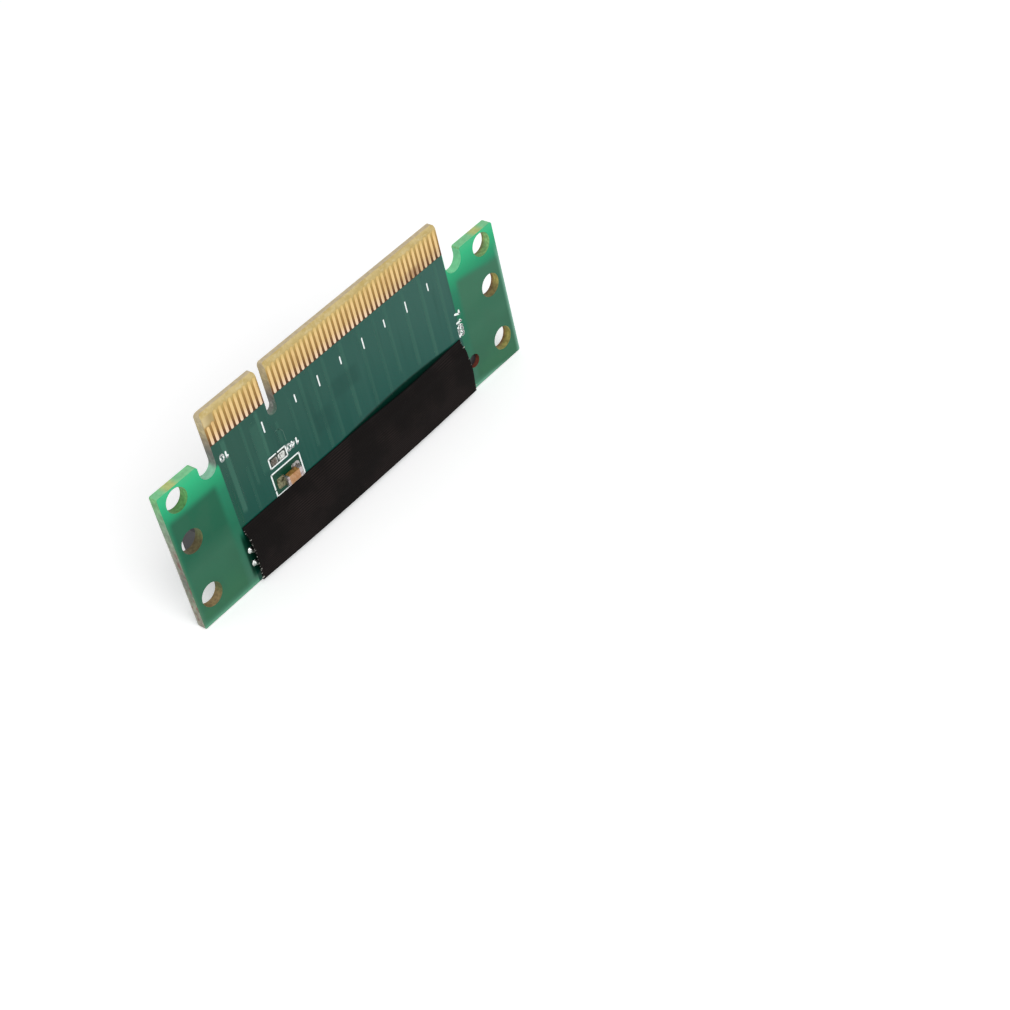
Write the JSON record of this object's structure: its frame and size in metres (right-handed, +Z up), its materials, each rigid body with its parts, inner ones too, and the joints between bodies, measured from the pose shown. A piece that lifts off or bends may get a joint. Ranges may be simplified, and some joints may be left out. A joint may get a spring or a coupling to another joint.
{
  "type": "pcie riser card",
  "caption": "Low right-angle riser card: circuit board with gold edge connector on top, card slot on the back, and black cloth tape over the slot's soldered tails.",
  "frame": {"origin": "on the standing edge, half way through the board's thickness and half way along the edge connector", "axes": "+X along the board from the short group of fingers to the long one, +Y out of the back towards the card slot's mouth, +Z up from the standing edge to the edge connector"},
  "size_m": [0.0743, 0.0146, 0.032],
  "materials": {
    "board": "green solder mask over glass-epoxy board, satin gloss",
    "gold": "gold-plated copper fingers",
    "housing": "black moulded glass-filled plastic",
    "contacts": "gold-flashed copper alloy spring strip",
    "solder": "bright tin solder",
    "tape": "black woven cloth tape, matte",
    "ceramic": "orange-brown fired ceramic",
    "end_cap": "tinned end caps, dull"
  },
  "bodies": {
    "root": {"circuit_board": "board", "edge_fingers_front_before_key": "gold", "edge_fingers_front_after_key": "gold", "edge_fingers_back_before_key": "gold", "edge_fingers_back_after_key": "gold", "slot_housing": "housing", "contacts_upper_inner_before_key": "contacts", "contacts_upper_inner_after_key": "contacts", "solder_joints_upper_inner": "solder", "contacts_upper_outer_before_key": "contacts", "contacts_upper_outer_after_key": "contacts", "solder_joints_upper_outer": "solder", "contacts_lower_inner_before_key": "contacts", "contacts_lower_inner_after_key": "contacts", "solder_joints_lower_inner": "solder", "contacts_lower_outer_before_key": "contacts", "contacts_lower_outer_after_key": "contacts", "solder_joints_lower_outer": "solder", "insulating_tape": "tape", "capacitor_lands": "solder", "capacitor_body": "ceramic", "capacitor_end_caps": "end_cap", "capacitor_solder_fillets": "solder", "empty_lands": "solder"}
  },
  "joints": []
}
